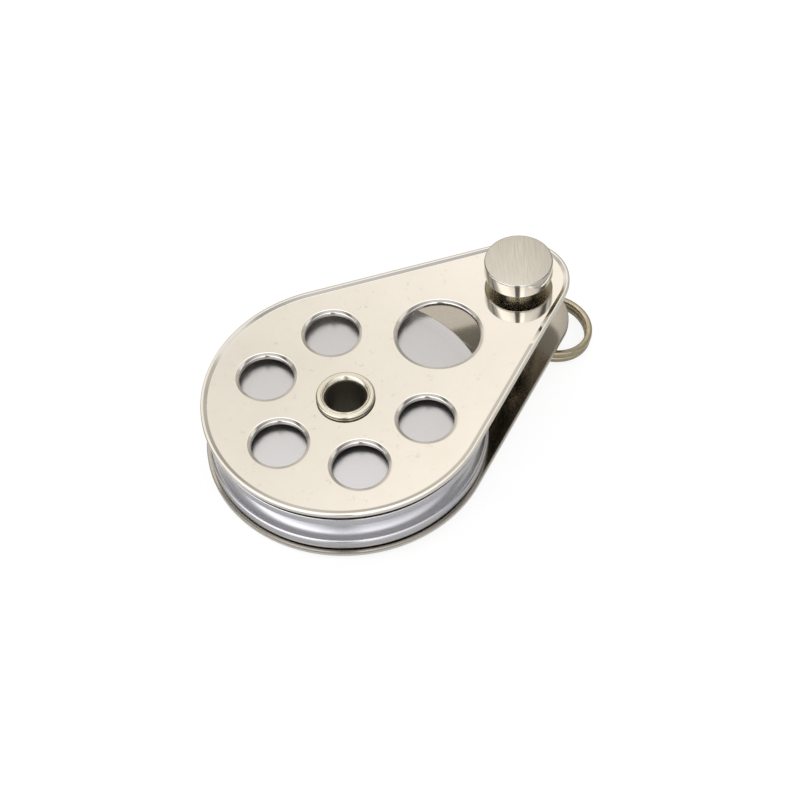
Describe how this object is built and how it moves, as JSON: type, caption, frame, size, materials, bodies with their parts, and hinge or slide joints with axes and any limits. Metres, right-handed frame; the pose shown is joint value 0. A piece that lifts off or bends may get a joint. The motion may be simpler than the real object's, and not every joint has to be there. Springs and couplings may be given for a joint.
{
  "type": "sheave block",
  "caption": "Flat sheave block: polished pressed cheeks with round lightening holes, a grooved sheave on a hollow axle, and a headed clevis pin kept by a split ring.",
  "frame": {"origin": "on the axle axis, midway between the two cheeks", "axes": "+X from the axle to the head pin, +Z along the axle towards the cheek under the pin's head, +Y completes a right-handed frame"},
  "size_m": [0.093, 0.06, 0.0266],
  "materials": {
    "polished_stainless": "mirror polished",
    "satin_aluminium": "satin anodised",
    "axle_stainless": "polished",
    "bush_acetal": "matte",
    "pin_stainless": "brushed top, polished side",
    "ring_stainless": "bright drawn wire"
  },
  "bodies": {
    "block": {"cheek_upper": "polished_stainless", "cheek_lower": "polished_stainless", "axle_tube": "axle_stainless", "distance_sleeve": "axle_stainless", "rivet_washer_upper": "axle_stainless", "rivet_washer_lower": "axle_stainless"},
    "sheave": {"sheave": "satin_aluminium", "bush_upper": "bush_acetal", "bush_lower": "bush_acetal"},
    "head_pin": {"head_pin": "pin_stainless"},
    "split_ring": {"split_ring": "ring_stainless"}
  },
  "joints": [
    {"name": "sheave_spin", "type": "hinge", "parent": "block", "child": "sheave", "pos_m": [0, 0, 0], "axis": [0, 0, 1], "continuous": true},
    {"name": "head_pin_slide", "type": "slide", "parent": "block", "child": "head_pin", "axis": [0, 0, 1], "range_m": [-0.0022, 0.0006]},
    {"name": "ring_swing", "type": "hinge", "parent": "head_pin", "child": "split_ring", "pos_m": [0.0479, 0, -0.00945], "axis": [0.5446, 0.8387, 0], "range_deg": [-6, 166]}
  ]
}
